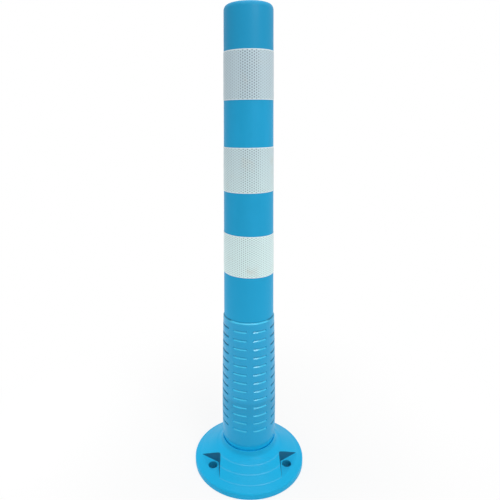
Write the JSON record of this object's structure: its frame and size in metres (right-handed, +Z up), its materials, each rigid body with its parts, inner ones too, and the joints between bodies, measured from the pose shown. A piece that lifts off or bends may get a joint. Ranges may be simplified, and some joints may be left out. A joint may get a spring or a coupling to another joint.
{
  "type": "flexible delineator post",
  "caption": "Flexible blue road delineator post with a grooved flex sleeve, white reflective bands and a round stepped base with screw pockets.",
  "frame": {"origin": "centre of the base's underside, on the ground", "axes": "+Z up along the post, -Y towards the front, where a plain strip of the sleeve faces the viewer"},
  "size_m": [0.1954, 0.1952, 0.75],
  "materials": {
    "blue_moulding": "satin",
    "reflective_tape": "satin"
  },
  "bodies": {
    "root": {"post_moulding": "blue_moulding", "reflective_band_top": "reflective_tape", "reflective_band_middle": "reflective_tape", "reflective_band_bottom": "reflective_tape"}
  },
  "joints": []
}
